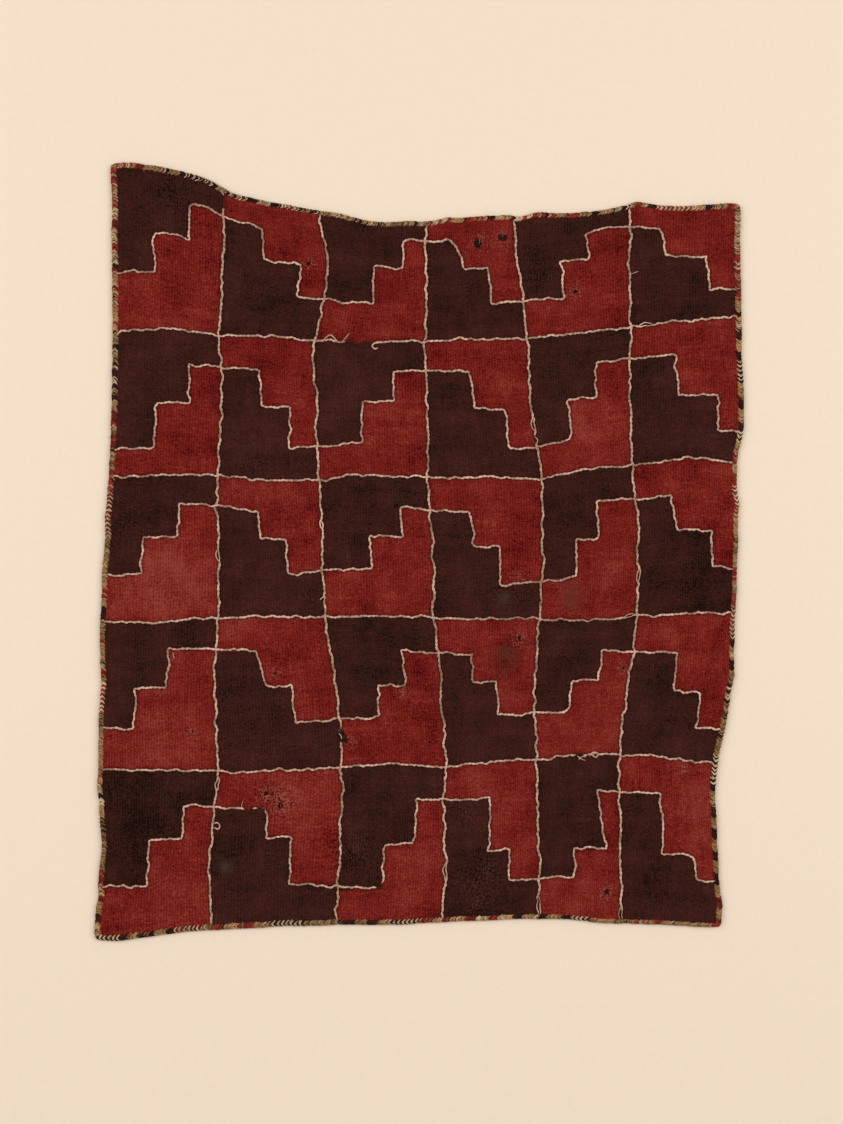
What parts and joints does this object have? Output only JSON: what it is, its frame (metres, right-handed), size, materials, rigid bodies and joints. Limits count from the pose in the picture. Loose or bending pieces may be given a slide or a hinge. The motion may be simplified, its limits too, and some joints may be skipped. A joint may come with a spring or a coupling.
{
  "type": "textile fragment",
  "caption": "Flat wool textile of red and dark brown stepped panels, with raised stitched outlines and a looped edge binding, lying face up.",
  "frame": {"origin": "middle of the outline's box, on the surface that the cloth lies on", "axes": "+X to the right of the pattern, +Y to its top, +Z out of its face"},
  "size_m": [0.3512, 0.4192, 0.0032],
  "materials": {
    "woven_wool": "hand-woven wool, red and dark brown panels",
    "outline_yarn": "plied cream wool yarn",
    "binding_yarn": "looped wool yarn in golden tan, red, dark brown and cream"
  },
  "bodies": {
    "root": {"cloth": "woven_wool", "outline_stitching": "outline_yarn", "edge_binding": "binding_yarn"}
  },
  "joints": []
}
